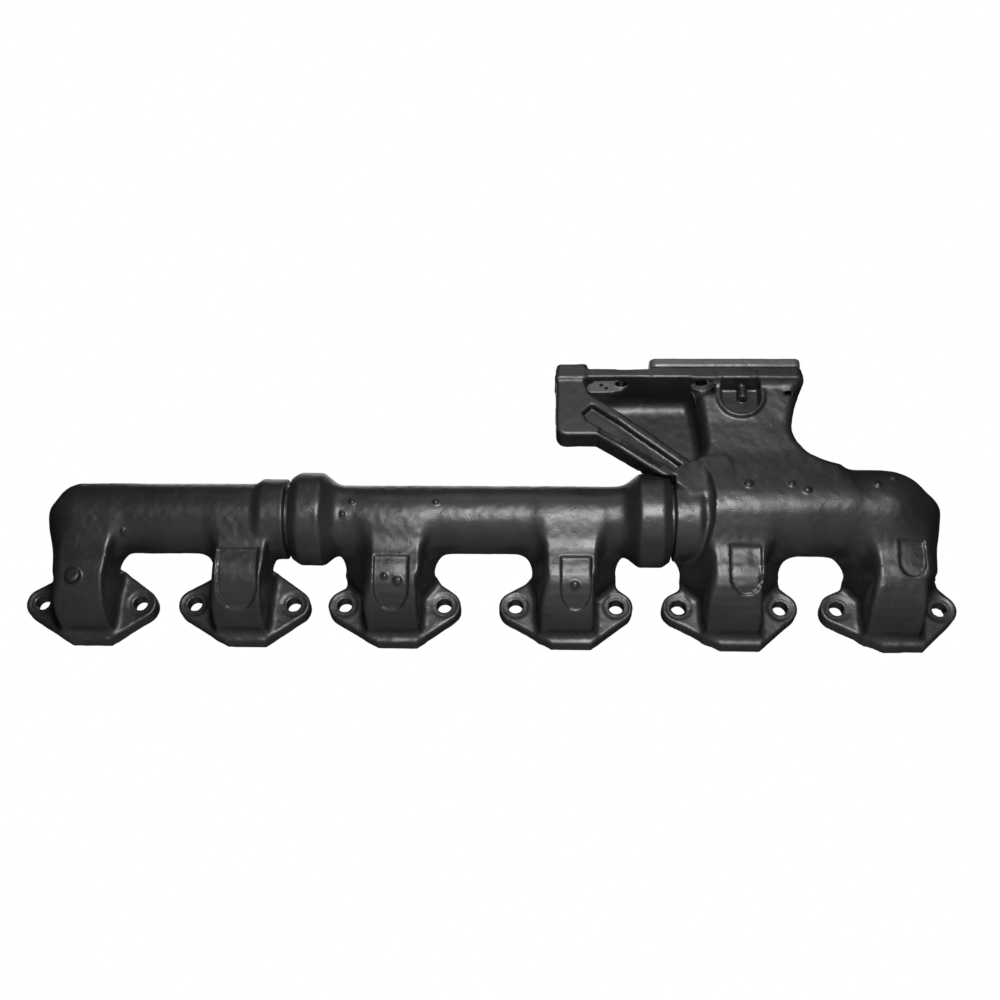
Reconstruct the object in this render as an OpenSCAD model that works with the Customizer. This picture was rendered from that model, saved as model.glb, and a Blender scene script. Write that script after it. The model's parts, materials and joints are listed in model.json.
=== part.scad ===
// Three-piece exhaust manifold for an in-line six-cylinder engine.
// +X runs along the engine from the front section to the rear section, +Y points into the
// cylinder head and +Z up. The six port faces lie on the plane y = 0, and the origin is the
// middle of port 3's pair of bolt holes, on that plane. The sections stand as they lie in the
// slip joints: the front joint pushed in a little, the rear joint drawn out a little.

/* [Ports] */
// Distance between the two ports of one section's pair
port_pitch = 140; // [130:1:160]
// Distance between ports 3 and 4, across the engine's wide middle bearing
mid_pitch = 154; // [140:1:160]
// Distance from port 2 to port 3, with the front joint where it stands
front_gap_pitch = 136.5; // [134:0.5:140]
// Distance from port 4 to port 5, with the rear joint where it stands
rear_gap_pitch = 145.5; // [143:0.5:148]
// Distance between the two bolt holes of a port flange
bolt_spacing = 90; // [86:1:96]
// Diameter of the port bolt holes
bolt_hole_d = 13; // [10:0.5:14]
// Radius of the flange round each bolt hole
ear_r = 15; // [13:0.5:17]
// Height of the port flange above and below its bolt line
flange_half_h = 36.5; // [34:0.5:40]
// Length of the flat at the top and bottom of a port flange
flange_flat = 35; // [25:1:45]
// Thickness of a port flange
flange_t = 14; // [10:1:18]
// Width of the gas port in the flange face
port_w = 40; // [30:1:42]
// Height of the gas port in the flange face
port_h = 38; // [28:1:42]

/* [Log pipe] */
// Outside diameter of the front and centre log pipes
log_d = 61; // [58:1:64]
// Wall of the castings
wall = 7; // [5:0.5:8]
// Distance of the log's axis in front of the port faces
log_out = 46; // [44:1:50]
// Height of the log's axis above the bolt line
log_up = 70; // [67:1:74]
// Outside diameter of the rear section's swollen log pipe
rear_log_d = 77; // [73:1:80]
// Height of the swollen pipe's axis above the bolt line
rear_log_up = 77; // [75:1:79]

/* [Runners] */
// Width of a runner's front face
runner_face_w = 46; // [40:1:50]
// Width of a runner's foot, between the two bolt heads
runner_foot_w = 50; // [48:1:58]
// Radius of the runner's outer bend, seen from the end of the engine
runner_bend = 54; // [48:1:56]

/* [Slip joints] */
// Outside diameter of the bells at the ends of the centre section
bell_d = 83.5; // [81:0.5:86]
// Length of a bell's thick rim
bell_len = 30; // [28:1:33]
// Depth of the chamfer round a bell's mouth
bell_edge = 4.5; // [1:0.5:5]
// Bore of the bells
bell_bore_d = 60; // [58:0.5:62]
// Depth of the bell's bore
bell_bore_depth = 33; // [32:0.5:36]
// Outside diameter of the shoulder on each spigot section
collar_d = 72; // [69:1:76]
// Length of the shoulder
collar_len = 25; // [20:1:28]
// Gap between the front shoulder and the bell's mouth
front_gap = 4.5; // [3:0.5:6]
// Gap between the rear shoulder and the bell's mouth
rear_gap = 3; // [2:0.5:4]
// Diameter of the spigot inside the bell
nose_d = 59.2; // [58:0.1:59.4]
// Length of the spigot from its shoulder
nose_len = 32; // [30:0.5:32.5]
// Bore of the log and the spigots
bore_d = 44; // [38:1:46]
// Width of a sealing ring
ring_w = 3; // [2:0.5:3]
// Radial depth of a sealing ring
ring_depth = 3; // [2.5:0.5:4]
// Distance from the shoulder to the middle of the first sealing ring
ring_first = 14; // [13:0.5:14.5]
// Distance between neighbouring sealing rings
ring_pitch = 6.5; // [6:0.5:7]
// Width of the split in a sealing ring
ring_split = 1.2; // [0.6:0.2:3]

/* [Turbocharger flange] */
// Left end of the flange plate
plate_x0 = 144; // [142:1:150]
// Right end of the flange plate
plate_x1 = 363; // [361:1:368]
// Distance of the plate's front edge from the port faces
plate_front = 90; // [86:1:94]
// Distance of the plate's back edge from the port faces
plate_back = 2; // [-4:1:6]
// Height of the plate's underside
plate_z = 192; // [188:1:196]
// Thickness of the plate
plate_t = 9; // [8:1:12]
// Height of the raised pad at the plate's left end
end_pad_t = 5; // [2:1:8]
// Thickness of the machined pad on the plate
pad_t = 11; // [5:1:12]
// Left end of the machined pad
pad_x0 = 228; // [222:1:234]
// Distance between the turbocharger bolts along the engine
turbo_bolt_x = 76; // [70:1:80]
// Distance between the turbocharger bolts across the engine
turbo_bolt_y = 68; // [62:1:70]
// Diameter of the turbocharger bolt holes
turbo_hole_d = 11; // [9:0.5:13]
// Width of the turbocharger gas port along the engine
turbo_port_w = 56; // [40:1:58]
// Depth of the turbocharger gas port across the engine
turbo_port_d = 44; // [36:1:46]

/* [Hidden] */
$fn = 64;
iron = [0.16, 0.16, 0.165];
iron_dark = [0.12, 0.12, 0.125];
iron_light = [0.22, 0.22, 0.225];
steel = [0.55, 0.56, 0.58];

port_x = [
    -port_pitch - front_gap_pitch, -front_gap_pitch, 0,
    mid_pitch, mid_pitch + rear_gap_pitch, mid_pitch + rear_gap_pitch + port_pitch
];
flange_skew = [2.5, 3.5, 3.5, 5, 9, 12];
log_r = log_d / 2;
rear_log_y = -log_out - 2;
rear_bore_d = 52;
front_mouth = -91;
rear_mouth = 245.5;
front_shoulder = front_mouth - front_gap;
rear_shoulder = rear_mouth + rear_gap;
bend_z = -28 + runner_bend;
port_r = 12;
front_end_x = port_x[0] - 5;
front_end_reach = 29;
rear_end_x = port_x[5] - 4;
rear_end_reach = 41;
pedestal_x = 316;
pedestal_y = -44;
turbo_bolt_mid = pedestal_x - 3;
bell_clearance = 2.5;
bell_edge_len = 7;
boss_front = 68;
boss_d = 13;
pocket_x = 309;
pocket_r = 17;
pocket_bottom = 159.5;
pocket_back = -72;
big = 400;
eps = 0.01;

// Points of a circular arc, from angle a0 to angle a1
function arc(cx, cz, r, a0, a1, n = 8) =
    [for (i = [0:n]) let (a = a0 + (a1 - a0) * i / n) [cx + r * cos(a), cz + r * sin(a)]];

// A solid of revolution about the log's axis: the profile's points are [x, radius]
module about_log(points, z = log_up, y = -log_out) {
    translate([0, y, z])
        rotate([0, 90, 0])
            rotate_extrude() polygon([for (p = points) [p[1], p[0]]]);
}

// A straight round bar along X on the log's axis
module bar(x0, x1, d, z = log_up, y = -log_out) {
    translate([x0, y, z]) rotate([0, 90, 0]) cylinder(d = d, h = x1 - x0);
}

// An outline drawn in X and Z, carried from y0 to y1
module front_view(y0, y1) {
    translate([0, y1, 0]) rotate([90, 0, 0]) linear_extrude(y1 - y0) children();
}

// An outline drawn in Y and Z, carried from x0 to x1
module end_view(x0, x1) {
    translate([x0, 0, 0]) rotate([90, 0, 90]) linear_extrude(x1 - x0) children();
}

// A rectangle with round corners, centred on the origin
module round_rect(w, h, r) {
    polygon(concat(
        arc(w / 2 - r, h / 2 - r, r, 0, 90), arc(r - w / 2, h / 2 - r, r, 90, 180),
        arc(r - w / 2, r - h / 2, r, 180, 270), arc(w / 2 - r, r - h / 2, r, 270, 360)
    ));
}

// Angle above the bolt line at which a straight edge leaves an ear for the end of the flat
function ear_tangent(end) =
    let (reach = [bolt_spacing / 2 - end, flange_half_h])
    90 - atan2(flange_half_h, reach[0]) + asin(ear_r / norm(reach));

// Outline of a port flange: two round ears joined by sloping edges to a flat top and bottom,
// which stand off the middle by skew
module flange_outline(skew) {
    half = bolt_spacing / 2;
    right = flange_flat / 2 + skew;
    left = flange_flat / 2 - skew;
    polygon(concat(
        arc(half, 0, ear_r, -ear_tangent(right), ear_tangent(right)),
        [[right, flange_half_h], [-left, flange_half_h]],
        arc(-half, 0, ear_r, 180 - ear_tangent(left), 180 + ear_tangent(left)),
        [[-left, -flange_half_h], [right, -flange_half_h]]
    ));
}

// The flange plate of port i, counted from 0, with its two bolt holes
module flange(i) {
    translate([port_x[i], 0, 0]) difference() {
        front_view(-flange_t, 0) flange_outline(flange_skew[i]);
        for (side = [-1, 1])
            translate([side * bolt_spacing / 2, eps, 0])
                rotate([90, 0, 0]) cylinder(d = bolt_hole_d, h = flange_t + 2 * eps);
    }
}

// Solid of one runner: narrow in front, wide at the flange, bending up from the port to the log.
// out_l and out_r are how far its sides stand from the port's centre line, above its foot.
module runner(x, out_l, out_r, top = log_up) {
    front = log_out + 24;
    foot = runner_foot_w / 2;
    translate([x, 0, 0]) intersection() {
        linear_extrude(2 * big, center = true) polygon([
            [-runner_face_w / 2, -front], [runner_face_w / 2, -front],
            [out_r, -26], [out_r, -eps - 2], [-out_l, -eps - 2], [-out_l, -26]
        ]);
        front_view(-big, big) polygon([
            [-foot, -30], [foot, -30], [foot, 6], [out_r, 24],
            [out_r, top], [-out_l, top], [-out_l, 24], [-foot, 6]
        ]);
        end_view(-big, big) polygon(concat(
            [[-flange_t + 2, -28], [-flange_t + 2, 26], [-log_out + 24, 34], [-log_out + 24, top]],
            [[-front + 2, top]],
            arc(-front + 2 + runner_bend, bend_z, runner_bend, 180, 268, 14)
        ));
    }
}

// The gas way of one runner: a round-cornered port that bends up into the log
module runner_bore(x) {
    bend_y = -flange_t;
    translate([x, 0, 0]) {
        front_view(-flange_t - 2, 1) round_rect(port_w, port_h, port_r);
        translate([0, bend_y, log_out - flange_t]) rotate([0, 90, 0]) rotate([0, 0, -90])
            rotate_extrude(angle = 90)
                translate([log_out - flange_t, 0]) round_rect(port_h - 4, port_w - 4, port_r);
        translate([0, -log_out, log_out - flange_t])
            linear_extrude(log_up - log_out + flange_t)
                round_rect(port_w - 4, port_h - 4, port_r);
    }
}

// Profile of a pipe's rounded end, from the pipe's outside at x to the axis. side is -1 at the
// front end of the engine and 1 at the rear, and reach is how far the end stands out from x.
function round_end(x, side, r, reach) =
    [for (a = [0:10:90]) [x + side * reach * sin(a), r * cos(a)]];

// A shoulder and spigot with its ring grooves, pointing to +X when dir is 1. pipe_end is the
// profile of the pipe's far end, from its outside to the axis.
module spigot(shoulder, dir, pipe_end) {
    groove_w = ring_w + 0.3;
    groove_r = nose_d / 2 - ring_depth - 0.3;
    tip = shoulder + dir * nose_len;
    about_log(concat(
        [[shoulder - dir * (collar_len + 6), log_r], [shoulder - dir * collar_len, collar_d / 2]],
        [[shoulder - dir * 1, collar_d / 2], [shoulder, collar_d / 2 - 1], [shoulder, nose_d / 2]],
        [for (i = [0:2], edge = [-1, 1], depth = [0, 1])
            [shoulder + dir * (ring_first + i * ring_pitch + edge * groove_w / 2),
             (edge < 0) == (depth == 0) ? nose_d / 2 : groove_r]],
        [[tip - dir * 1, nose_d / 2], [tip, nose_d / 2 - 1], [tip, 0]],
        [for (i = [len(pipe_end) - 1:-1:0]) pipe_end[i]]
    ));
}

// Half of the centre section's pipe, from its bell's mouth to the middle of the section
module bell(mouth, dir) {
    about_log([
        [mouth, 0], [mouth, bell_d / 2 - bell_edge], [mouth - dir * bell_edge_len, bell_d / 2],
        [mouth - dir * bell_len, bell_d / 2], [mouth - dir * (bell_len + 14), log_r],
        [mid_pitch / 2, log_r], [mid_pitch / 2, 0]
    ]);
}

// The bore that takes a spigot, with a chamfered mouth
module bell_bore(mouth, dir) {
    about_log([
        [mouth + dir * 1, 0], [mouth + dir * 1, bell_bore_d / 2 + 2],
        [mouth - dir * 1, bell_bore_d / 2], [mouth - dir * bell_bore_depth, bell_bore_d / 2],
        [mouth - dir * bell_bore_depth, 0]
    ]);
}

// One split sealing ring in a spigot's groove, a running fit in the bell
module seal_ring(shoulder, dir, place) {
    x = shoulder + dir * (ring_first + (place - 1) * ring_pitch);
    outer = bell_bore_d / 2 - 0.05;
    color(steel) difference() {
        bar(x - ring_w / 2, x + ring_w / 2, 2 * outer);
        bar(x - ring_w, x + ring_w, 2 * (outer - ring_depth));
        translate([x, -log_out, log_up])
            rotate([place * 120, 0, 0])
                translate([-ring_w, -ring_split / 2, 0])
                    cube([2 * ring_w, ring_split, bell_bore_d]);
    }
}

module front_section() {
    color(iron_dark) difference() {
        union() {
            for (i = [0, 1]) flange(i);
            spigot(front_shoulder, 1, round_end(front_end_x, -1, log_r, front_end_reach));
            runner(port_x[0], 31, 28);
            runner(port_x[1], 29, 28);
            translate([port_x[0] - 2, -boss_front + 10, 4])
                rotate([90, 0, 0]) cylinder(d = boss_d, h = 10);
        }
        bar(port_x[0] - 14, front_shoulder + nose_len + 5, bore_d);
        for (i = [0, 1]) runner_bore(port_x[i]);
    }
}

module centre_section() {
    color(iron) difference() {
        union() {
            for (i = [2, 3]) flange(i);
            runner(port_x[2], 42, 38);
            runner(port_x[3], 32, 42);
            bell(front_mouth, -1);
            bell(rear_mouth, 1);
        }
        bar(front_mouth + bell_bore_depth - 5, rear_mouth - bell_bore_depth + 5, bore_d);
        bell_bore(front_mouth, -1);
        bell_bore(rear_mouth, 1);
        for (i = [2, 3]) runner_bore(port_x[i]);
    }
}

// Outline of the pedestal from the front: a neck that flares to the plate and sweeps into the log
module pedestal_outline() {
    neck_r = 28;
    polygon(concat(
        [[268, plate_z + 1], [362, plate_z + 1]],
        arc(354 + neck_r, 150, neck_r, 165, 225, 6),
        [[370, 124], [382, 117], [396, 114], [396, rear_log_up]],
        [[262, rear_log_up], [276, 130], [272, 165]]
    ));
}

// The strut from the plate's left end down to the log, and the leg above it, from the front
module strut_outline() {
    polygon(concat(
        arc(plate_x0 + 9, 142, 9, 180, 270, 4),
        [[180, 133], [221, 106], [264, 80], [264, 111], [174, 174], [168, plate_z + 1]],
        [[plate_x0, plate_z + 1]]
    ));
}

module rear_section() {
    log_x0 = rear_shoulder + collar_len + 8;
    pipe_x = rear_shoulder + collar_len + 20;
    color(iron_light) difference() {
        union() {
            for (i = [4, 5]) flange(i);
            about_log(concat(
                [[log_x0, 0], [log_x0, rear_log_d / 2]],
                round_end(rear_end_x, 1, rear_log_d / 2, rear_end_reach)
            ), rear_log_up, rear_log_y);
            runner(port_x[4], 42, 40, rear_log_up);
            runner(port_x[5], 38, 40, rear_log_up);
            spigot(rear_shoulder, -1, [[pipe_x, log_r], [pipe_x, 0]]);
            turbo_flange();
        }
        bar(rear_shoulder - nose_len - 5, pipe_x, bore_d);
        bar(pipe_x - 1, port_x[5] + 14, rear_bore_d, rear_log_up - 3);
        for (i = [4, 5]) runner_bore(port_x[i]);
        turbo_bore();
    }
}

// Pedestal, plate, pad, leg, strut and web that carry the turbocharger. Nothing of them comes
// near the bell, round which the rear section can turn and slide.
module turbo_flange() {
    difference() {
        union() {
            pedestal();
            plate();
            front_view(-plate_front + 1, -plate_front + 24) strut_outline();
            front_view(-42, -32)
                polygon([[186, plate_z + 1], [290, plate_z + 1], [290, 90], [240, 90]]);
        }
        bar(plate_x0, rear_shoulder, bell_d + 2 * bell_clearance);
    }
}

module pedestal() {
    intersection() {
        front_view(-plate_front + 8, -plate_back - 6) pedestal_outline();
        end_view(0, big) polygon([
            [-plate_front + 4, plate_z + 2], [-plate_back - 6, plate_z + 2], [-14, 140],
            [-log_out + 34, rear_log_up], [-log_out - 38, rear_log_up], [-log_out - 35, 150]
        ]);
    }
}

// The flange plate, its machined pad and the small raised pad at its left end
module plate() {
    depth = plate_front - plate_back;
    translate([plate_x0, -plate_front, plate_z]) cube([plate_x1 - plate_x0, depth, plate_t]);
    translate([pad_x0, -plate_front, plate_z])
        cube([plate_x1 - pad_x0, depth, plate_t + pad_t]);
    translate([plate_x0, -plate_front, plate_z]) cube([28, 30, plate_t + end_pad_t]);
}

// The gas way up the pedestal, the bolt holes of the pad and of the left end, and the U-shaped
// pocket in the pedestal's front, under the plate
module turbo_bore() {
    translate([pedestal_x, pedestal_y, rear_log_up])
        linear_extrude(plate_z + plate_t + pad_t - rear_log_up + 1)
            round_rect(turbo_port_w, turbo_port_d, 10);
    for (sx = [-1, 1], sy = [-1, 1])
        translate([
            turbo_bolt_mid + sx * turbo_bolt_x / 2, pedestal_y + sy * turbo_bolt_y / 2,
            plate_z - 14
        ])
            cylinder(d = turbo_hole_d, h = 60);
    translate([203, -plate_front + 14, plate_z - 1]) cylinder(d = turbo_hole_d, h = 30);
    front_view(-plate_front, pocket_back) polygon(concat(
        arc(pocket_x, pocket_bottom + pocket_r, pocket_r, 180, 360),
        [[pocket_x + pocket_r, plate_z - 2], [pocket_x - pocket_r, plate_z - 2]]
    ));
}

front_section();
centre_section();
rear_section();
seal_ring(front_shoulder, 1, 1);  // front_seal_ring_1
seal_ring(front_shoulder, 1, 2);  // front_seal_ring_2
seal_ring(front_shoulder, 1, 3);  // front_seal_ring_3
seal_ring(rear_shoulder, -1, 1);  // rear_seal_ring_1
seal_ring(rear_shoulder, -1, 2);  // rear_seal_ring_2
seal_ring(rear_shoulder, -1, 3);  // rear_seal_ring_3
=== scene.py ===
import json
import math

import bpy
import numpy as np
from mathutils import Matrix, Vector


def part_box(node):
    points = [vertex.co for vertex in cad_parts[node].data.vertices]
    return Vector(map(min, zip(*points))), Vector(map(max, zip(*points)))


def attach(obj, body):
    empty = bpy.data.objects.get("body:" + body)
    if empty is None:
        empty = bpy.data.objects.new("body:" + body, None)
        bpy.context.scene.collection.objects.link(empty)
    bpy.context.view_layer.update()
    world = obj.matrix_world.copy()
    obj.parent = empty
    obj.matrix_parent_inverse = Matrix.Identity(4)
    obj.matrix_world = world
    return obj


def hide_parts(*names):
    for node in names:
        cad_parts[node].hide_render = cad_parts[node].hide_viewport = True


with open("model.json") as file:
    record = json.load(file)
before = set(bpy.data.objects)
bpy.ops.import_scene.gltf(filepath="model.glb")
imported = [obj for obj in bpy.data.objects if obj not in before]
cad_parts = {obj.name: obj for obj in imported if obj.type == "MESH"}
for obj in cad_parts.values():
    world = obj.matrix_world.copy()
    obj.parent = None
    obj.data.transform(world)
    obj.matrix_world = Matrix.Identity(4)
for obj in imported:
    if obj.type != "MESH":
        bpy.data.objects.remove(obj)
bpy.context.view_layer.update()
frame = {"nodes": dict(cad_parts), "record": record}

# ---------------------------------------------------------------------------------------------
# Centre section: the middle casting of the three. One sand casting in grey iron: a log pipe with
# a thick bell at each end, and two runners that bend down and back to their port flanges. The
# bells, the flange faces and the bolt holes are machined afterwards.
# All shapes below are in millimetres, in the frame's own axes, and become metres in the mesh.

MOUNTS = {m["name"]: m["pos_m"] for m in frame["record"]["mounts"]}
PORT_X = [1000 * MOUNTS[f"port_{port}_bolts"][0] for port in range(1, 7)]
LOG_Y = -46.0
LOG_Z = 70.0
LOG_R = 30.5
BORE_R = 22.0
FLANGE_T = 14.0
BOLT_HALF = 45.0
BOLT_HOLE_R = 6.5
BOLT_SEAT_R = 11.5
EAR_R = 15.0
FLANGE_HALF_H = 36.5
FLANGE_FLAT = 17.5
FLANGE_SKEW = [2.5, 3.5, 3.5, 5.0, 9.0, 12.0]   # how far each flange's flats stand off its middle
FLANGE_SPARE = 6.0      # stock left on the flange faces before they are milled
PORT_HALF_W = 18.0
PORT_HALF_H = 17.0
PORT_CORNER_R = 11.0
PORT_FLARE = 2.0
BEND_R = 32.0
LEAN = 4.0              # how far to the rear a runner's front face stands
FACE_HALF = 19.0        # half the width of that face
FOOT_HALF = 25.0        # half a runner's width between the bolt heads
BELL_R = 41.75
BELL_BORE_R = 30.0
BELL_BORE_DEPTH = 33.0
PANEL_DEPTH = 1.8
NUB_HEIGHT = 1.9


def blend(a, b, k):
    """Union with a fillet: the lesser of two distances, less a parabola where they are within k."""
    h = np.maximum(k - np.abs(a - b), 0) / k
    return np.minimum(a, b) - h * h * k / 4


def meet(a, b, k):
    """Intersection with a rounded edge: the greater of two distances, plus the same parabola."""
    return -blend(-a, -b, k)


def cut(a, b):
    """The first solid less the second, with a sharp edge."""
    return np.maximum(a, -b)


def bar(x, y, z, x0, x1, r, cy=LOG_Y, cz=LOG_Z, edge=0.0):
    """Distance to a round bar along X: distance from the axis less r, met by the two end planes."""
    side = np.hypot(y - cy, z - cz) - r
    ends = np.abs(x - (x0 + x1) / 2) - (x1 - x0) / 2
    return meet(side, ends, edge) if edge else np.maximum(side, ends)


def brick(u, v, hu, hv, r):
    """Distance to a rectangle with round corners: half sizes hu and hv, corner radius r."""
    qu = np.abs(u) - hu + r
    qv = np.abs(v) - hv + r
    return np.hypot(np.maximum(qu, 0), np.maximum(qv, 0)) + np.minimum(np.maximum(qu, qv), 0) - r


def outline(u, v, points, r=0.0):
    """Distance to a polygon grown by r: the nearest edge's distance, negative where a ray from
    the point crosses the polygon's edges an odd number of times."""
    u, v = np.broadcast_arrays(u, v)
    best = np.full(u.shape, 1e9)
    inside = np.zeros(u.shape, bool)
    for (au, av), (bu, bv) in zip(points, points[1:] + points[:1]):
        eu, ev = bu - au, bv - av
        t = np.clip(((u - au) * eu + (v - av) * ev) / (eu * eu + ev * ev), 0, 1)
        best = np.minimum(best, (u - au - t * eu) ** 2 + (v - av - t * ev) ** 2)
        inside ^= ((av > v) != (bv > v)) & (u < eu * (v - av) / (ev if ev else 1e-9) + au)
    return np.where(inside, -1, 1) * np.sqrt(best) - r


def slab(d, w, w0, w1, edge):
    """An outline carried from w0 to w1 along the third axis, with rounded edges."""
    return meet(d, np.abs(w - (w0 + w1) / 2) - (w1 - w0) / 2, edge)


def arc(cu, cv, r, a0, a1, n=10):
    """Points of a circular arc from angle a0 to a1, in degrees."""
    angles = np.radians(np.linspace(a0, a1, n))
    return [(cu + r * math.cos(a), cv + r * math.sin(a)) for a in angles]


def flange(x, y, z, port):
    """A port flange 14 mm thick: two round ears joined by straight edges to a flat top and
    bottom, which stand off the middle by the port's skew. An edge touches its ear at the angle
    90 - atan2(height, run) + asin(ear radius / edge's reach) from the bolt line. The flange is
    made a little too thick, and machine() mills its face flat."""
    skew = FLANGE_SKEW[port - 1]
    points = []
    for side, middle in ((1, 0), (-1, 180)):
        flat = FLANGE_FLAT + side * skew
        run = BOLT_HALF - flat
        reach = math.hypot(run, FLANGE_HALF_H)
        touch = 90 - math.degrees(math.atan2(FLANGE_HALF_H, run) - math.asin(EAR_R / reach))
        points += arc(side * BOLT_HALF, 0, EAR_R, middle - touch, middle + touch)
        points += [(side * flat, side * FLANGE_HALF_H)]
        points += [(-side * (FLANGE_FLAT - side * skew), side * FLANGE_HALF_H)]
    plan = outline(x - PORT_X[port - 1], z, points)
    return slab(plan, y, -FLANGE_T, FLANGE_SPARE, 2.5)


def runner(x, y, z, port, left, right, top):
    """A runner: narrow in front, with hollow flanks, met by the side view of a pipe bend and by a
    front view that leaves room for the bolt heads. It reaches left and right of its port and up
    to top, inside the log. Under the manifold's two ends it is rounder, as a bent pipe is."""
    px = PORT_X[port - 1]
    flank = [FACE_HALF + 0.25 * (side - FACE_HALF - 4) for side in (left, right)]
    plan = outline(x - px, y, [
        (LEAN - FACE_HALF, -65), (LEAN + FACE_HALF, -65), (flank[1], -44), (right - 4, -22),
        (right - 4, FLANGE_SPARE), (4 - left, FLANGE_SPARE), (4 - left, -22), (-flank[0], -44)
    ], 4.0)
    if port in (1, 6):
        over, spread = (-3, 22 + 0.15 * z) if port == 1 else (8, 28.5 + 0.06 * z)
        plan = blend(plan, np.hypot(x - px - over, y + 40) - spread, 6.0)
    face = outline(x - px, z, [
        (-22, -32), (24, -32), (FOOT_HALF, -12), (FOOT_HALF, 6), (right, 24), (right, top),
        (-left, top), (-left, 24), (-FOOT_HALF, 6), (-FOOT_HALF, -12)
    ])
    side = outline(y, z, [(0, 24), (-20, 30), (-22, top), (-68, top)] + arc(-14, 26, 54, 180, 266)
                   + [(0, -28)])
    return meet(meet(plan, side, 7.0), face, 5.0)


def port_pair(x, y, z, body, ports, top, fillet):
    """A pipe with its runners and flanges, shallow round seats for the bolt heads, and room in
    front of each seat."""
    for port, left, right in ports:
        body = blend(body, runner(x, y, z, port, left, right, top), fillet)
    for port, _, _ in ports:
        body = blend(body, flange(x, y, z, port), 7.0)
        seat = np.hypot(np.abs(x - PORT_X[port - 1]) - BOLT_HALF, z) - BOLT_SEAT_R
        shallow = 0.8 * ease(seat, 1.2) * ease(y + 9, 2.0)
        clear = 8 * ease(seat, 0.5) * ease(y + 15, 1.0)
        body = body + shallow + clear
    return body


def gas_way(x, y, z, px, top):
    """A port's bore: a round-cornered slot carried straight in, round a bend, and up to top. It is
    a little wider through the flange and narrows to its own size over the next 6 mm."""
    bend = np.hypot(y + FLANGE_T, z - BEND_R) - BEND_R
    v = np.where(y > -FLANGE_T, -z, np.where(z > BEND_R, LOG_Y - y, bend))
    flare = PORT_FLARE * np.clip((y + FLANGE_T) / 6 + 1, 0, 1)
    slot = brick(x - px, v, PORT_HALF_W, PORT_HALF_H, PORT_CORNER_R)
    return np.maximum(slot - flare, z - top)


def machine(x, y, z, body, bore, ports, top):
    """A casting with its gas ways cut out, its port faces milled and its bolt holes drilled."""
    for port, _, _ in ports:
        bore = blend(bore, gas_way(x, y, z, PORT_X[port - 1], top), 5.0)
    body = cut(np.maximum(body, y), bore)
    for port, _, _ in ports:
        body = cut(body, np.hypot(np.abs(x - PORT_X[port - 1]) - BOLT_HALF, z) - BOLT_HOLE_R)
    return body


def cast_noise(x, y, z, size, seed):
    """Soft unevenness of a sand mould: random values on a cubic lattice, eased between points."""
    period = 24
    table = np.random.default_rng(seed).uniform(-1, 1, (period, period, period))
    out = 0.0
    cells = []
    for w in (x, y, z):
        f = np.floor(w / size)
        t = w / size - f
        cells.append((f.astype(int), t * t * (3 - 2 * t)))
    (i, tx), (j, ty), (k, tz) = cells
    for a in (0, 1):
        for b in (0, 1):
            for c in (0, 1):
                weight = (tx if a else 1 - tx) * (ty if b else 1 - ty) * (tz if c else 1 - tz)
                out = out + weight * table[(i + a) % period, (j + b) % period, (k + c) % period]
    return out


def ease(d, soft):
    """1 well inside a shape and 0 well outside, eased over the width soft."""
    t = np.clip(0.5 - d / soft, 0, 1)
    return t * t * (3 - 2 * t)


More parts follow.
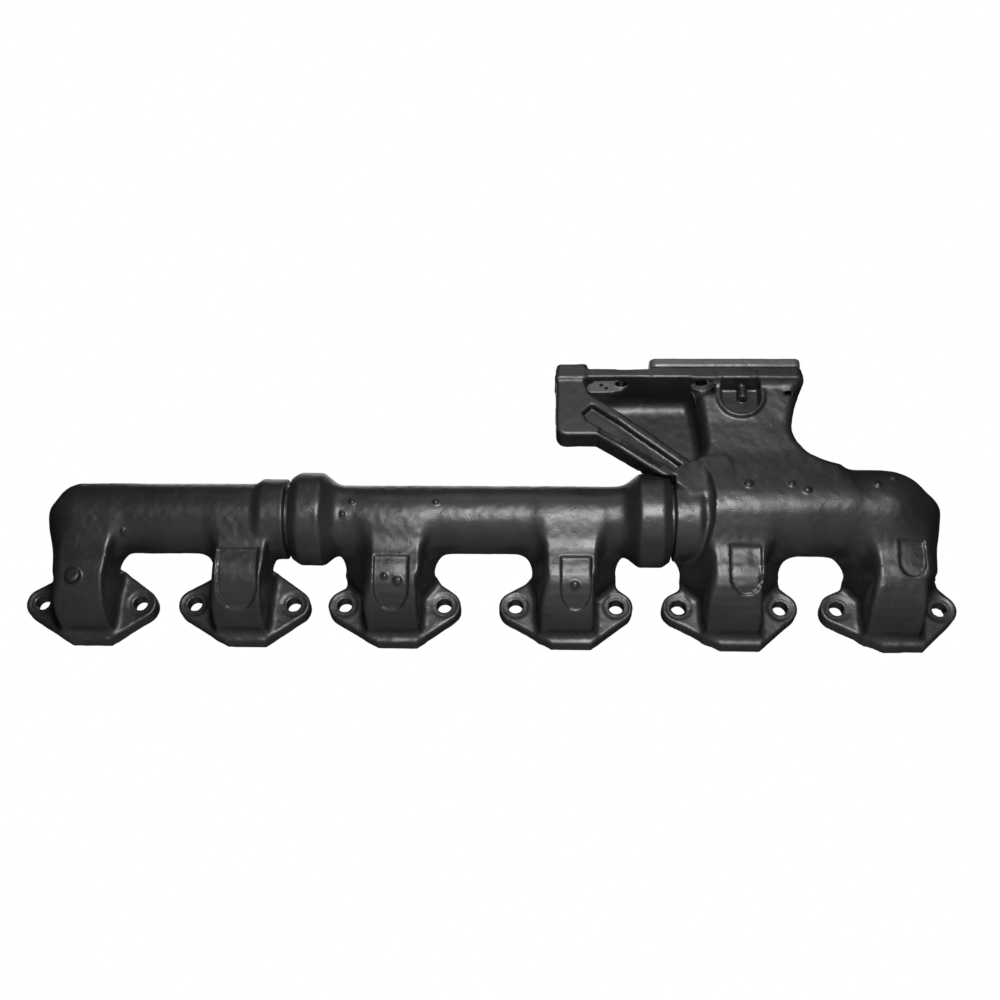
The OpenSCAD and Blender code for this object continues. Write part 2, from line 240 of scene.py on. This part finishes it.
def make_solid(name, field, low, high, cell):
    """A mesh of the surface where field(x, y, z) is zero. The field is taken at the corners of a
    grid. Each grid edge that crosses zero gives a point and a normal, each cell takes the point
    that lies nearest to all the planes of its edges, and each crossed edge becomes one face
    between the four cells round it. The middle of a cell's points pulls a little too, which
    settles flat stretches, and a point stays within its own cell."""
    slope_step = 0.15
    middle_pull = 0.08
    margin = 0.02
    axes = [np.arange(a - 2 * cell, b + 3 * cell, cell) for a, b in zip(low, high)]
    shape = [len(a) for a in axes]
    d = np.broadcast_to(field(*np.ix_(*axes)), shape).astype(np.float32)
    inside = d < 0
    cells = np.array(shape) - 1
    strides = np.array([cells[1] * cells[2], cells[2], 1])
    rings, points = [], []
    for axis in range(3):
        lo = [slice(None)] * 3
        hi = [slice(None)] * 3
        lo[axis], hi[axis] = slice(0, -1), slice(1, None)
        a, b = inside[tuple(lo)], inside[tuple(hi)]
        i, j, k = np.nonzero(a != b)
        start = np.stack([i, j, k], 1)
        da = d[tuple(lo)][i, j, k]
        db = d[tuple(hi)][i, j, k]
        p = np.stack([axes[n][start[:, n]] for n in range(3)], 1)
        p[:, axis] += cell * da / (da - db)
        u, v = (axis + 1) % 3, (axis + 2) % 3
        ring = []
        for du, dv in ((0, 0), (-1, 0), (-1, -1), (0, -1)):
            c = start.copy()
            c[:, u] += du
            c[:, v] += dv
            ring.append(c @ strides)
        ring = np.stack(ring, 1)
        flip = a[i, j, k]
        ring[~flip] = ring[~flip][:, ::-1]
        rings.append(ring)
        points.append(p)
    ring = np.concatenate(rings)
    p = np.concatenate(points)
    x, y, z = p[:, 0], p[:, 1], p[:, 2]
    h = slope_step
    normal = np.stack([
        field(x + h, y, z) - field(x - h, y, z),
        field(x, y + h, z) - field(x, y - h, z),
        field(x, y, z + h) - field(x, y, z - h)], 1)
    normal /= np.maximum(np.linalg.norm(normal, axis=1, keepdims=True), 1e-9)
    used, where = np.unique(ring, return_inverse=True)
    where = where.reshape(ring.shape)
    count = np.zeros(len(used))
    mid = np.zeros((len(used), 3))
    ata = np.zeros((len(used), 3, 3))
    atb = np.zeros((len(used), 3))
    outer = normal[:, :, None] * normal[:, None, :]
    plane = (normal * p).sum(1)[:, None] * normal
    for corner in range(4):
        w = where[:, corner]
        count += np.bincount(w, minlength=len(used))
        for m in range(3):
            mid[:, m] += np.bincount(w, p[:, m], len(used))
            atb[:, m] += np.bincount(w, plane[:, m], len(used))
            for q in range(3):
                ata[:, m, q] += np.bincount(w, outer[:, m, q], len(used))
    mid /= count[:, None]
    pull = middle_pull * count[:, None, None] * np.eye(3)
    rest = atb - np.einsum("nij,nj->ni", ata, mid)
    step = np.linalg.solve(ata + pull, rest[:, :, None])[:, :, 0]
    cell_low = np.stack([axes[0][used // strides[0]], axes[1][used // strides[1] % cells[1]],
                         axes[2][used % cells[2]]], 1)
    spot = np.clip(mid + step, cell_low + margin * cell, cell_low + (1 - margin) * cell)
    mesh = bpy.data.meshes.new(name)
    mesh.vertices.add(len(spot))
    mesh.vertices.foreach_set("co", (spot * 0.001).astype(np.float32).ravel())
    mesh.loops.add(where.size)
    mesh.loops.foreach_set("vertex_index", where.astype(np.int32).ravel())
    mesh.polygons.add(len(where))
    mesh.polygons.foreach_set("loop_start", np.arange(0, where.size, 4, dtype=np.int32))
    mesh.polygons.foreach_set("loop_total", np.full(len(where), 4, np.int32))
    mesh.update(calc_edges=True)
    mesh.shade_smooth()
    piece = bpy.data.objects.new(name, mesh)
    bpy.context.scene.collection.objects.link(piece)
    print(name, "faces", len(where))
    return piece


class Flow:
    """One output socket of a shader node. Sums and products of flows add Math nodes."""

    def __init__(self, tree, socket):
        self.tree, self.socket = tree, socket

    def node(self, kind, settings, values, output=0):
        """Any other node: its settings are set first, then its sockets, by name or number, take
        flows or plain values. output picks which of its enabled outputs flows on."""
        made = self.tree.nodes.new(kind)
        for key, value in settings.items():
            setattr(made, key, value)
        for key, value in values.items():
            if isinstance(value, Flow):
                self.tree.links.new(value.socket, made.inputs[key])
            else:
                made.inputs[key].default_value = value
        return Flow(self.tree, [o for o in made.outputs if o.enabled][output])

    def maths(self, operation, *values):
        return self.node("ShaderNodeMath", {"operation": operation}, dict(enumerate(values)))

    def __add__(self, other):
        return self.maths("ADD", self, other)

    def __sub__(self, other):
        return self.maths("SUBTRACT", self, other)

    def __rsub__(self, other):
        return self.maths("SUBTRACT", other, self)

    def __mul__(self, other):
        return self.maths("MULTIPLY", self, other)

    def __gt__(self, other):
        return self.maths("GREATER_THAN", self, other)

    def __lt__(self, other):
        return self.maths("LESS_THAN", self, other)

    def __or__(self, other):
        return self.maths("MAXIMUM", self, other)

    __radd__ = __add__
    __rmul__ = __mul__

    def between(self, low, high):
        """0 below low, 1 above high, and a smooth step from one to the other."""
        return self.node("ShaderNodeMapRange", {"interpolation_type": "SMOOTHSTEP"},
                         {"Value": self, "From Min": low, "From Max": high})

    def part(self, axis):
        """One of a vector's X, Y and Z."""
        return self.node("ShaderNodeSeparateXYZ", {}, {0: self}, axis)


def new_material(name):
    """A Principled material, its tree's object coordinates, and a function that sets its inputs."""
    material = bpy.data.materials.new(name)
    material.use_nodes = True
    tree = material.node_tree
    shader = tree.nodes["Principled BSDF"]
    place = Flow(tree, tree.nodes.new("ShaderNodeTexCoord").outputs["Object"])

    def finish(**inputs):
        for key, value in inputs.items():
            socket = shader.inputs[key.replace("_", " ")]
            if isinstance(value, Flow):
                tree.links.new(value.socket, socket)
            else:
                socket.default_value = value
    return material, place, finish


def noise(place, scale, detail=2.0, rough=0.5):
    """Noise from 0 to 1, scale waves to the metre."""
    return place.node("ShaderNodeTexNoise", {},
                      {"Vector": place, "Scale": scale, "Detail": detail, "Roughness": rough})


def mix(mask, a, b):
    """Colour a where the mask is 0 and colour b where it is 1."""
    return mask.node("ShaderNodeMix", {"data_type": "RGBA"}, {0: mask, 6: a, 7: b})


PAINT = ((0.007, 0.007, 0.0075, 1), (0.016, 0.016, 0.017, 1))
BARE_IRON = ((0.42, 0.42, 0.425, 1), (0.56, 0.56, 0.565, 1))


def cast_iron(name, machined):
    """Satin black heat paint over sand-cast iron: a fine grainy bump, small pits and a cloudy
    sheen, and bare turned or milled metal where machined(place) is 1."""
    material, place, finish = new_material(name)
    grain = noise(place, 900.0, 3.0, 0.6)
    pits = noise(place, 330.0).between(0.60, 0.74)
    cloud = noise(place, 26.0, 4.0, 0.6).between(0.32, 0.72)
    rough_cast = noise(place, 180.0)
    bare = machined(place)
    paint = mix(cloud, *PAINT)
    metal = mix(noise(place, 60.0, 3.0), *BARE_IRON)
    height = grain * 0.6 + pits * -0.5 + rough_cast * 0.9
    bump = place.node("ShaderNodeBump", {}, {
        "Strength": 0.26, "Distance": 0.0006, "Height": height * (1 - bare * 0.8)})
    finish(Base_Color=mix(bare, paint, metal), Roughness=0.42 + cloud * -0.08 + grain * 0.05,
           Metallic=bare * 0.35, Normal=bump, Specular_IOR_Level=0.55)
    return material


def panel(x, y, z, cx, half, z0, z1):
    """Depth of a sunk panel on a runner's front, with a flat top and a round bottom."""
    bottom = np.hypot(x - cx, np.minimum(z - (z0 + half), 0)) - half
    return PANEL_DEPTH * ease(np.maximum(bottom, z - z1), 1.6) * ease(y + 45, 4.0)


def nub(x, y, z, cx, cz, r, front):
    """Height of a small round nub on the casting's front."""
    return NUB_HEIGHT * ease(np.hypot(x - cx, z - cz) - r, 2.6) * ease(y - front, 4.0)


def bell(x, y, z, mouth, way):
    """A bell: a flat rim with a long chamfer at its mouth and a cone down to the pipe. The height
    over a slope s is scaled by its cosine, 1 / sqrt(1 + s * s), which makes it a distance."""
    t = (mouth - x) * way
    over = np.hypot(y - LOG_Y, z - LOG_Z) - BELL_R
    rim = meet(over, (over + 4.5 - t * 0.64) * 0.84, 1.2)
    rim = meet(rim, (over + (t - 27.5) * 0.8) * 0.78, 1.5)
    return meet(rim, -t, 0.8)


CENTRE_PORTS = ((3, 46, 38), (4, 32, 46))   # port, and its runner's reach to the left and right
FRONT_MOUTH = -91.0
REAR_MOUTH = 245.5


def centre_field(x, y, z):
    """The pipe and bells, blended into the runners and flanges, less the bores and bolt holes."""
    body = bar(x, y, z, FRONT_MOUTH + 20, REAR_MOUTH - 20, LOG_R)
    body = port_pair(x, y, z, body, CENTRE_PORTS, LOG_Z, 18.0)
    for mouth, way in ((FRONT_MOUTH, -1), (REAR_MOUTH, 1)):
        body = blend(body, bell(x, y, z, mouth, way), 4.0)
    body = body + panel(x, y, z, PORT_X[2] + 1, 15.0, -18.0, 25.0)
    body = body + panel(x, y, z, PORT_X[3] + 8, 13.0, -17.0, 25.0)
    for cx, cz, r in ((-4.4, 6.6, 2.2), (7.1, 2.9, 3.2), (PORT_X[3] + 7, 0.3, 3.0)):
        body = body - nub(x, y, z, cx, cz, r, -55)
    for cx, cz, r in ((-43, 60, 2.0), (-35, 72, 2.0), (39, 72, 2.2)):
        body = body - nub(x, y, z, cx, cz, r, -60)
    body = body + 0.35 * cast_noise(x, y, z, 17.0, 3) + 0.16 * cast_noise(x, y, z, 5.0, 4)
    body = np.maximum(body, np.maximum(FRONT_MOUTH - x, x - REAR_MOUTH))
    bore = bar(x, y, z, FRONT_MOUTH + 30, REAR_MOUTH - 30, BORE_R)
    bore = np.minimum(bore, bar(x, y, z, FRONT_MOUTH - 5, FRONT_MOUTH + BELL_BORE_DEPTH, BELL_BORE_R))
    bore = np.minimum(bore, bar(x, y, z, REAR_MOUTH - BELL_BORE_DEPTH, REAR_MOUTH + 5, BELL_BORE_R))
    return machine(x, y, z, body, bore, CENTRE_PORTS, LOG_Z)


def low_high(node, spare=3.0):
    """A CAD node's box in millimetres, a little larger."""
    low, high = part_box(node)
    return [1000 * v - spare for v in low], [1000 * v + spare for v in high]


CELL = 1.5
centre = make_solid("centre_casting", centre_field, *low_high("centre_section"), CELL)
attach(centre, "centre")
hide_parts("centre_section")


def port_faces(place):
    """1 on the milled port faces, which lie on the plane y = 0, to a depth of 0.4 mm."""
    return place.part(1) > -0.0004


centre.data.materials.append(cast_iron("centre_iron", port_faces))

# ---------------------------------------------------------------------------------------------
# Front section: the casting over ports 1 and 2. Its log pipe ends in a dome over port 1 and, at
# the other end, in a shoulder and a machined spigot with three grooves for the sealing rings.

COLLAR_R = 36.0
COLLAR_LEN = 22.5
NOSE_R = 29.6
RELIEF_R = 44.25
NOSE_LEN = 32.0
GROOVE_R = 26.3
GROOVE_W = 3.3
RING_FIRST = 14.0
RING_PITCH = 6.5
FRONT_SHOULDER = -95.5
FRONT_PORTS = ((1, 36, 28), (2, 29, 28))
BOSS_FRONT = -68.5
BOSS_R = 6.5
BOSS_Z = 4.0
BRIGHT_FROM = 9.0       # where a spigot's bright metal starts, from its shoulder


def domed(x, y, z, x0, x1, r, reach, cy, cz):
    """A round bar from x0 whose end at x1 is drawn out into a dome reach long: beyond x1 the
    distance along the axis, scaled by r / reach, adds to the distance from the axis."""
    way = math.copysign(1, x1 - x0)
    far = np.maximum((x - x1) * way, 0) * r / reach
    return np.maximum(np.sqrt((y - cy) ** 2 + (z - cz) ** 2 + far ** 2) - r, (x0 - x) * way)


def collar(x, y, z, shoulder, way):
    """The thick shoulder behind a spigot, with a short cone down to the pipe, scaled as a bell's."""
    t = (shoulder - x) * way
    over = np.hypot(y - LOG_Y, z - LOG_Z) - COLLAR_R
    return meet(meet(over, (over + (t - COLLAR_LEN) * 0.9) * 0.74, 2.0), -t, 1.5)


def nose(x, y, z, shoulder, way):
    """A machined spigot with three grooves for its sealing rings."""
    ends = sorted((shoulder - way * 5, shoulder + way * NOSE_LEN))
    spigot = bar(x, y, z, ends[0], ends[1], NOSE_R, edge=1.0)
    for place in range(3):
        mid = shoulder + way * (RING_FIRST + place * RING_PITCH)
        depth = GROOVE_R - np.hypot(y - LOG_Y, z - LOG_Z)
        spigot = cut(spigot, np.maximum(np.abs(x - mid) - GROOVE_W / 2, depth))
    return spigot


def turned(x, y, z, body, shoulder, way):
    """A section turned flat at its shoulder and cleared all round the bell that stands there."""
    return cut(body, np.maximum((shoulder - x) * way, np.hypot(y - LOG_Y, z - LOG_Z) - RELIEF_R))


def front_field(x, y, z):
    """The pipe with its dome, shoulder and spigot, blended into the runners and flanges, with a
    round boss on runner 1. Swapping x and y turns the bar to point forward."""
    body = domed(x, y, z, FRONT_SHOULDER - 3, PORT_X[0] - 5, LOG_R + 1, 28.0, LOG_Y, LOG_Z)
    body = port_pair(x, y, z, body, FRONT_PORTS, LOG_Z, 16.0)
    body = blend(body, collar(x, y, z, FRONT_SHOULDER, 1), 3.0)
    boss = bar(y, x, z, BOSS_FRONT, -50, BOSS_R, PORT_X[0] - 2, BOSS_Z, edge=2.0)
    body = blend(body, boss, 2.5)
    body = body + panel(x, y, z, PORT_X[1] + 2, 18.0, -19.0, 31.0)
    for cx, cz, r in ((-238, 46, 2.0), (-179, 37, 2.4)):
        body = body - nub(x, y, z, cx, cz, r, -60)
    body = body + 0.35 * cast_noise(x, y, z, 17.0, 5) + 0.16 * cast_noise(x, y, z, 5.0, 6)
    body = turned(x, y, z, body, FRONT_SHOULDER, 1)
    body = np.minimum(body, nose(x, y, z, FRONT_SHOULDER, 1))
    bore = bar(x, y, z, PORT_X[0] - 14, FRONT_SHOULDER + 60, BORE_R)
    return machine(x, y, z, body, bore, FRONT_PORTS, LOG_Z)


front = make_solid("front_casting", front_field, *low_high("front_section"), CELL)
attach(front, "front")
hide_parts("front_section")


def on_nose(place, shoulder, way):
    """1 on a spigot's bright end, beyond BRIGHT_FROM and within the radius of the bell's bore."""
    out_y = place.part(1) - LOG_Y / 1000
    out_z = place.part(2) - LOG_Z / 1000
    near = (out_y * out_y + out_z * out_z) < (BELL_BORE_R / 1000) ** 2
    return near * ((place.part(0) * way) > (shoulder * way + BRIGHT_FROM) / 1000)


def front_machined(place):
    """1 on the port faces and the spigot."""
    return port_faces(place) | on_nose(place, FRONT_SHOULDER, 1)


front.data.materials.append(cast_iron("front_iron", front_machined))

# ---------------------------------------------------------------------------------------------
# Rear section: the largest casting. A swollen log over ports 5 and 6, a spigot into the centre
# section, and a hollow pedestal that carries the turbocharger's flange plate. A leg and a strut
# hold up the plate's overhanging end, with a thin web behind them.

REAR_SHOULDER = 248.5
REAR_Y = -48.0
REAR_Z = 77.0
REAR_R = 38.5
REAR_BORE_R = 26.0
REAR_BORE_Z = REAR_Z - 3
REAR_PORTS = ((5, 46, 45), (6, 41, 43))
PLATE_X0 = 144.0
PLATE_X1 = 363.0
PLATE_Y = -46.0
PLATE_HALF_D = 44.0
PLATE_Z = 192.0
PLATE_T = 9.0
PAD_X0 = 228.0
PAD_TOP = PLATE_Z + 20.0
PAD_LINE = 203.7        # the pad is machined above this height
GAS_X = 316.0
GAS_Y = -44.0
GAS_HALF_W = 28.0
GAS_HALF_D = 22.0
TURBO_X = 313.0
TURBO_HALF_W = 38.0
TURBO_HALF_D = 34.0
TURBO_HOLE_R = 5.5
END_HOLE_X = 203.0
END_HOLE_Y = -76.0
POCKET_X = 309.0
POCKET_R = 17.0
POCKET_Z = 176.5


def tilted(x, z, x0, z0, x1, z1, half):
    """A straight rib seen from the front, from one point to another, half wide each side."""
    ex, ez = x1 - x0, z1 - z0
    long = math.hypot(ex, ez)
    along = ((x - x0) * ex + (z - z0) * ez) / long
    off = ((z - z0) * ex - (x - x0) * ez) / long
    return np.hypot(np.maximum(np.maximum(-along, along - long), 0), off) - half


def strut(x, y, z):
    """The leg and strut: one plate whose front sinks back towards the pedestal, with a trough
    under its upper edge and a fine groove below, both running down to the right."""
    front = -89 + 11 * np.clip((x - 200) / 75, 0, 1)
    face = outline(x, z, arc(PLATE_X0 + 9, 142, 9, 180, 270, 6) + [
        (180, 133), (221, 106), (262, 82), (292, 86), (292, 112), (262, 113), (174, 176),
        (168, PLATE_Z + 2), (PLATE_X0, PLATE_Z + 2)])
    body = meet(face, np.maximum(front - y, y + 66), 3.0)
    trough = outline(x, z, [(176, 163), (169, 156), (172, 149), (248, 104), (253, 108)], 1.0)
    body = meet(body, -np.maximum(trough, y - front - 7), 2.5)
    groove = tilted(x, z, 184, 137, 236, 107, 1.6)
    return meet(body, -np.maximum(groove, y - front - 2.5), 3.0)


def flat_plate(x, y, z, x0, corner_r, top):
    """A plate from x0 to the flange plate's right end, as deep as it and up to top."""
    half = (PLATE_X1 - x0) / 2
    plan = brick(x - x0 - half, y - PLATE_Y, half, PLATE_HALF_D, corner_r)
    return slab(plan, z, PLATE_Z, top, 1.8)


def plate_and_pad(x, y, z):
    """The flange plate, the machined pad on it, the small raised pad at its left end and a lip on
    its front. A fine groove runs round the pad at its machining line."""
    plate = flat_plate(x, y, z, PLATE_X0, 4.0, PLATE_Z + PLATE_T)
    pad = flat_plate(x, y, z, PAD_X0, 6.0, PAD_TOP)
    end_pad = slab(brick(x - PLATE_X0 - 14, y + 75, 14.0, 15.0, 4.0), z, PLATE_Z, PLATE_Z + 14, 2.0)
    plate = blend(blend(plate, pad, 3.0), end_pad, 3.0)
    lip = slab(brick(x - 307.5, z - 193.5, 14.5, 4.0, 2.5), y, -91, -80, 1.5)
    plate = blend(plate, lip, 2.0)
    return plate + 0.9 * ease(np.abs(z - PAD_LINE) - 0.6, 1.0) * ease(PAD_X0 - x, 1.0)


def turbo_mount(x, y, z, body):
    """The pedestal, plate, pads, strut and web, blended on to the log. The pedestal's front has a
    U-shaped pocket with a ridge round it and a stud, and two seats are milled under the plate."""
    front_view = outline(x, z, [(268, 194), (362, 194)] + arc(382, 150, 28, 165, 225, 6) + [
        (369, 122), (379, 114), (390, 108), (390, 70), (262, 70), (276, 130), (272, 165)])
    side_view = outline(y, z, [
        (-86, 194), (-8, 194), (-14, 140), (-14, 70), (-72, 70), (-79, 108), (-81, 150)])
    body = blend(body, meet(front_view, side_view, 9.0), 20.0)
    web = slab(outline(x, z, [(186, 194), (290, 194), (290, 90), (240, 90)]), y, -45, -33, 3.0)
    mount = blend(plate_and_pad(x, y, z), strut(x, y, z), 4.0)
    mount = blend(mount, web, 14.0)
    body = blend(body, mount, 10.0)
    ridge = np.abs(np.hypot(x - POCKET_X, z - POCKET_Z) - POCKET_R - 2.5) - 2.0
    ridge = slab(np.maximum(ridge, z - POCKET_Z - 6), y, -85, -78, 1.5)
    body = blend(body, ridge, 2.0)
    u_shape = np.hypot(x - POCKET_X, np.minimum(z - POCKET_Z, 0)) - POCKET_R
    body = meet(body, -slab(np.maximum(u_shape, z - PLATE_Z + 2), y, -100, -72, 2.0), 1.5)
    stud = np.maximum(np.hypot(x - 311.5, y + 77) - 4.5, np.abs(z - 184) - 7)
    body = np.minimum(body, stud)
    long_seat = slab(brick(x - 187, y + 73, 19.0, 11.0, 10.0), z, PLATE_Z - 6, PLATE_Z + 1.2, 0.4)
    round_seat = slab(np.hypot(x - 277, y + 77) - 11.5, z, PLATE_Z - 14, PLATE_Z + 1.2, 0.4)
    return cut(body, np.minimum(long_seat, round_seat))


def rear_field(x, y, z):
    """The swollen pipe, dome, spigot, runners and turbocharger mount, less all the bores."""
    body = domed(x, y, z, REAR_SHOULDER + 34, PORT_X[5] - 9, REAR_R, 45.0, REAR_Y, REAR_Z)
    body = blend(body, bar(x, y, z, REAR_SHOULDER + 10, REAR_SHOULDER + 45, LOG_R), 8.0)
    body = port_pair(x, y, z, body, REAR_PORTS, REAR_Z, 20.0)
    body = turbo_mount(x, y, z, body)
    body = blend(body, collar(x, y, z, REAR_SHOULDER, -1), 3.0)
    body = body + panel(x, y, z, PORT_X[4] + 9, 13.5, -6.0, 35.5)
    body = body + panel(x, y, z, PORT_X[5] + 11, 11.0, 9.0, 41.0)
    for cx, cz, r in ((311, 86, 3.2), (348, 86, 2.4), (361, 80, 2.8), (422, 87, 2.8), (437, 95, 2.2)):
        body = body - nub(x, y, z, cx, cz, r, -60)
    body = body + 0.4 * cast_noise(x, y, z, 19.0, 7) + 0.16 * cast_noise(x, y, z, 5.0, 8)
    body = turned(x, y, z, body, REAR_SHOULDER, -1)
    body = np.minimum(body, nose(x, y, z, REAR_SHOULDER, -1))
    bore = bar(x, y, z, REAR_SHOULDER - 60, REAR_SHOULDER + 45, BORE_R)
    log = bar(x, y, z, REAR_SHOULDER + 44, PORT_X[5] + 14, REAR_BORE_R, LOG_Y, REAR_BORE_Z)
    bore = blend(bore, log, 5.0)
    rise = slab(brick(x - GAS_X, y - GAS_Y, GAS_HALF_W, GAS_HALF_D, 10.0), z, REAR_Z, PAD_TOP + 28, 1.0)
    body = machine(x, y, z, body, blend(bore, rise, 6.0), REAR_PORTS, REAR_BORE_Z)
    body = np.maximum(body, z - PAD_TOP)
    hole = np.hypot(np.abs(x - TURBO_X) - TURBO_HALF_W, np.abs(y - GAS_Y) - TURBO_HALF_D) - TURBO_HOLE_R
    body = cut(body, np.maximum(hole, PLATE_Z - 14 - z))
    end_hole = np.hypot(x - END_HOLE_X, y - END_HOLE_Y) - TURBO_HOLE_R
    return cut(body, np.maximum(end_hole, PLATE_Z - 12 - z))


REAR_CELL = 1.7
rear = make_solid("rear_casting", rear_field, *low_high("rear_section"), REAR_CELL)
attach(rear, "rear")
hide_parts("rear_section")


def rear_machined(place):
    """1 on the port faces, the spigot, the pad above its line and the seats under the plate."""
    pad = (place.part(2) > PAD_LINE / 1000) * (place.part(0) > (PAD_X0 - 1) / 1000)
    seats = (place.part(2) > (PLATE_Z + 0.9) / 1000) * (place.part(2) < (PLATE_Z + 1.6) / 1000)
    seats = seats * (place.part(1) > -0.0885)
    return port_faces(place) | on_nose(place, REAR_SHOULDER, -1) | pad * 0.12 | seats


rear.data.materials.append(cast_iron("rear_iron", rear_machined))

# ---------------------------------------------------------------------------------------------
# Sealing rings: six split rings of turned steel, three in the grooves of each spigot. They press
# against the bell's bore and keep the gas in while the castings grow and slide. They keep their
# CAD shape.

ring_steel, place, finish = new_material("ring_steel")
lathe_marks = noise(place, 700.0)
finish(Base_Color=mix(lathe_marks, (0.30, 0.30, 0.31, 1), (0.42, 0.42, 0.43, 1)), Metallic=1.0,
       Roughness=0.30 + lathe_marks * 0.14)
for side in ("front", "rear"):
    for count in (1, 2, 3):
        ring = frame["nodes"][f"{side}_seal_ring_{count}"]
        for slot in ring.material_slots:
            slot.material = ring_steel

# ---------------------------------------------------------------------------------------------
# Stage: a pale floor well below the part, a dim world that the camera sees as white, three soft
# lamps and the camera, which looks up at the part from below. Lengths here are in metres.

FLOOR_HALF = 4.0
FLOOR_Z = -0.62
mesh = bpy.data.meshes.new("floor")
corners = [(sx * FLOOR_HALF, sy * FLOOR_HALF, FLOOR_Z) for sx, sy in ((-1, -1), (1, -1), (1, 1), (-1, 1))]
mesh.from_pydata(corners, [], [(0, 1, 2, 3)])
floor = bpy.data.objects.new("floor", mesh)
bpy.context.scene.collection.objects.link(floor)
pale, place, finish = new_material("floor_paper")
finish(Base_Color=mix(noise(place, 3.0), (0.80, 0.80, 0.79, 1), (0.84, 0.84, 0.83, 1)), Roughness=0.8)
floor.data.materials.append(pale)

scene = bpy.context.scene
scene.view_settings.view_transform = "Standard"
world = bpy.data.worlds.new("studio")
world.use_nodes = True
scene.world = world
tree = world.node_tree
paper = tree.nodes["Background"]
paper.inputs["Strength"].default_value = 1.0
paper.inputs["Color"].default_value = (1, 1, 1, 1)
dim = tree.nodes.new("ShaderNodeBackground")
dim.inputs["Strength"].default_value = 0.02
seen = tree.nodes.new("ShaderNodeLightPath")
choose = tree.nodes.new("ShaderNodeMixShader")
tree.links.new(seen.outputs["Is Camera Ray"], choose.inputs[0])
tree.links.new(dim.outputs[0], choose.inputs[1])
tree.links.new(paper.outputs[0], choose.inputs[2])
tree.links.new(choose.outputs[0], tree.nodes["World Output"].inputs["Surface"])

AZIMUTH, ELEVATION, ROLL = math.radians(2.7), math.radians(-23), math.radians(1.5)
DISTANCE = 1.27
FOCAL_LENGTH = 50.4
SHIFT_X, SHIFT_Y = 0.0196, 0.112
AIM = Vector((0.077, 0, 0))
LAMP_AIM = Vector((0.08, -0.03, 0.08))
back = Vector((math.sin(AZIMUTH) * math.cos(ELEVATION), -math.cos(AZIMUTH) * math.cos(ELEVATION),
               math.sin(ELEVATION)))
level = (-back).cross(Vector((0, 0, 1))).normalized()
over = level.cross(-back)
right = level * math.cos(ROLL) + over * math.sin(ROLL)
up = over * math.cos(ROLL) - level * math.sin(ROLL)
lens = bpy.data.cameras.new("camera")
lens.lens = FOCAL_LENGTH
lens.sensor_width = 36
lens.shift_x = SHIFT_X
lens.shift_y = SHIFT_Y
camera = bpy.data.objects.new("camera", lens)
scene.collection.objects.link(camera)
turn = Matrix((right, up, back)).transposed().to_4x4()
camera.matrix_world = Matrix.Translation(AIM + back * DISTANCE) @ turn
scene.camera = camera

LAMPS = (("key", (0.24, -1.30, 0.02), 0.28, 18.0), ("sky", (0.1, -0.9, 1.2), 0.8, 2.5),
         ("back", (-0.2, 1.2, 1.5), 1.2, 9.0))
for name, at, size, power in LAMPS:
    lamp = bpy.data.lights.new(name, "AREA")
    lamp.size = size
    lamp.energy = power
    holder = bpy.data.objects.new(name, lamp)
    holder.location = at
    holder.rotation_euler = (LAMP_AIM - Vector(at)).to_track_quat("-Z", "Y").to_euler()
    scene.collection.objects.link(holder)
